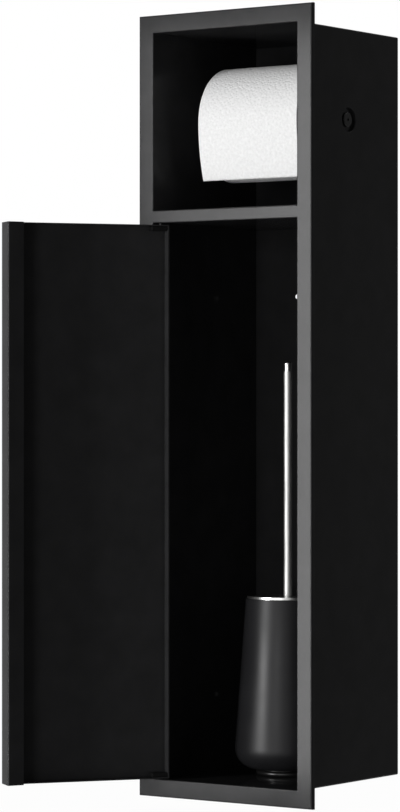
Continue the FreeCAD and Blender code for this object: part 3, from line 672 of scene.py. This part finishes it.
def coil_spring(node_name, joint):
    """A coil that fills the CAD spring's envelope."""
    low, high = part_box(node_name)
    size = high - low
    along = max(range(3), key=lambda axis: size[axis])
    axis = (X_AXIS, Y_AXIS, Z_AXIS)[along]
    outer = min(size) / 2
    wire = outer * WIRE_SHARE
    turns = round(size[along] / (wire * WIRES_PER_TURN))
    pitch = (size[along] - 2 * wire) / turns
    start = (low + high) / 2
    start[along] = low[along] + wire
    side = Z_AXIS if along < 2 else X_AXIS
    facing = axis.cross(side).to_track_quat("Z", "Y").to_matrix().to_4x4()
    section = Matrix.Translation(start + side * (outer - wire)) @ facing
    bm = bmesh.new()
    bmesh.ops.create_circle(bm, cap_ends=False, segments=WIRE_SIDES, radius=wire, matrix=section)
    bmesh.ops.spin(bm, geom=bm.verts[:] + bm.edges[:], cent=start, axis=axis, angle=math.tau * turns,
                   steps=COIL_STEPS * turns, dvec=axis * pitch / COIL_STEPS)
    bmesh.ops.holes_fill(bm, edges=[edge for edge in bm.edges if edge.is_boundary], sides=0)
    bmesh.ops.recalc_face_normals(bm, faces=bm.faces[:])
    piece = finished_piece(bm, node_name + "_coil", joint["parent"], "plain_steel", node_name)
    anchor = (low + high) / 2
    anchor[along] = high[along] if joint["axis"][along] > 0 else low[along]
    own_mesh(piece)


# Stage


def camera_ray_share(owner):
    """1 where a ray comes from the camera, a mirror or glass, and otherwise 0."""
    path = node(owner, "LightPath").outputs
    reflected = calculate(owner, "MAXIMUM", path["Is Camera Ray"], path["Is Glossy Ray"])
    return calculate(owner, "MAXIMUM", reflected, path["Is Transmission Ray"])


def light_world(stage):
    """White for the camera and in reflections, and a dim even light otherwise."""
    world = bpy.data.worlds.new("studio")
    world.use_nodes = True
    background = world.node_tree.nodes["Background"]
    background.inputs["Color"].default_value = WHITE
    level = map_range(world, camera_ray_share(world), (0.0, 1.0), (stage.ambient, 1.0))
    feed(world, level, background.inputs["Strength"])
    bpy.context.scene.world = world


def lay_floor(stage):
    """A plain pale floor below the cabinet that shows white and keeps a soft shadow."""
    bm = bmesh.new()
    place = Matrix.Translation((0, 0, CAD_BOX[0].z - stage.floor_drop))
    bmesh.ops.create_grid(bm, x_segments=1, y_segments=1, size=stage.floor_size / 2, matrix=place)
    material, shader = new_finish("pale_floor", FLOOR_COLOUR, 0.9)
    glow = node(material, "Emission", {"Color": WHITE, "Strength": 1.0}).outputs["Emission"]
    seen = calculate(material, "MULTIPLY", camera_ray_share(material), stage.floor_glow)
    mixed = node(material, "MixShader", {0: seen, 1: shader.outputs["BSDF"], 2: glow})
    surface = material.node_tree.nodes["Material Output"].inputs["Surface"]
    feed(material, mixed.outputs["Shader"], surface)
    link_object("floor", new_mesh(bm, "floor", material))


def hang_cloth(name, start, end, low, high, glow):
    """A dim grey cloth beside the set, which keeps the sides that mirror it deep in tone."""
    bm = bmesh.new()
    hem = bm.edges.new([bm.verts.new((*corner, low)) for corner in (start, end)])
    made = bmesh.ops.extrude_edge_only(bm, edges=[hem])
    raised = [item for item in made["geom"] if isinstance(item, bmesh.types.BMVert)]
    bmesh.ops.translate(bm, verts=raised, vec=Z_AXIS * (high - low))
    material, shader = new_finish(name, CLOTH_COLOUR, 1.0, specular=0.0)
    shader.inputs["Emission Color"].default_value = WHITE
    shader.inputs["Emission Strength"].default_value = glow
    cloth = link_object(name, new_mesh(bm, name, material))
    cloth.visible_camera = False


def place_softbox(name, place, size, power):
    """A level softbox that faces the cabinet's front."""
    light = bpy.data.lights.new(name, "AREA")
    light.shape = "RECTANGLE"
    light.size, light.size_y = size
    light.energy = power
    lamp = link_object(name, light)
    lamp.location = place
    front = Vector((0, CAD_BOX[0].y / 2, place[2]))
    lamp.rotation_euler = (front - Vector(place)).to_track_quat("-Z", "Y").to_euler()
    lamp.visible_camera = False


def place_camera(stage):
    """The level camera at the right front."""
    camera = link_object("camera", bpy.data.cameras.new("camera"))
    camera.data.lens = stage.lens
    camera.location = stage.camera_place
    camera.rotation_euler = (math.radians(90), 0, stage.camera_turn)
    bpy.context.scene.camera = camera


class CABINET_OT_set_stage(bpy.types.Operator):
    """Set the camera, the floor and the studio light"""

    bl_idname = "cabinet.set_stage"
    bl_label = "Set Stage"

    def execute(self, context):
        stage = context.scene.cabinet_stage
        light_world(stage)
        lay_floor(stage)
        for cloth in CLOTHS:
            hang_cloth(*cloth)
        place_softbox("key_softbox", stage.key_place, stage.key_size, stage.key_power)
        place_softbox("side_softbox", stage.side_place, stage.side_size, stage.side_power)
        place_softbox("fill_panel", stage.fill_place, stage.fill_size, stage.fill_power)
        place_camera(stage)
        context.scene.view_settings.view_transform = "Standard"
        return {"FINISHED"}


OPERATORS = (
    CABINET_OT_finish_nodes,
    CABINET_OT_build_roll,
    CABINET_OT_build_bristles,
    CABINET_OT_build_springs,
    CABINET_OT_set_stage,
)


class CABINET_PT_tools(bpy.types.Panel):
    """The cabinet's steps, in order"""

    bl_idname = "CABINET_PT_tools"
    bl_label = "Brush Cabinet"
    bl_space_type = "VIEW_3D"
    bl_region_type = "UI"
    bl_category = "Cabinet"

    def draw(self, context):
        for operator in OPERATORS:
            self.layout.operator(operator.bl_idname)


SETTINGS = {
    "cabinet_finish": FinishSettings,
    "cabinet_paper": PaperSettings,
    "cabinet_brush": BrushSettings,
    "cabinet_stage": StageSettings,
}


def register():
    """Registers the settings, operators and panel, and puts the settings on the scene."""
    for settings in SETTINGS.values():
        bpy.utils.register_class(settings)
    for operator in OPERATORS:
        bpy.utils.register_class(operator)
    bpy.utils.register_class(CABINET_PT_tools)
    for name, settings in SETTINGS.items():
        setattr(bpy.types.Scene, name, PointerProperty(type=settings))


def unregister():
    """Takes away all that register added."""
    for name in SETTINGS:
        delattr(bpy.types.Scene, name)
    bpy.utils.unregister_class(CABINET_PT_tools)
    for operator in reversed(OPERATORS):
        bpy.utils.unregister_class(operator)
    for settings in reversed(SETTINGS.values()):
        bpy.utils.unregister_class(settings)


def main():
    """Builds the dressed cabinet."""
    register()
    bpy.ops.cabinet.finish_nodes()
    bpy.ops.cabinet.build_roll()
    bpy.ops.cabinet.build_bristles()
    bpy.ops.cabinet.build_springs()
    bpy.ops.cabinet.set_stage()


if __name__ == "__main__":
    main()
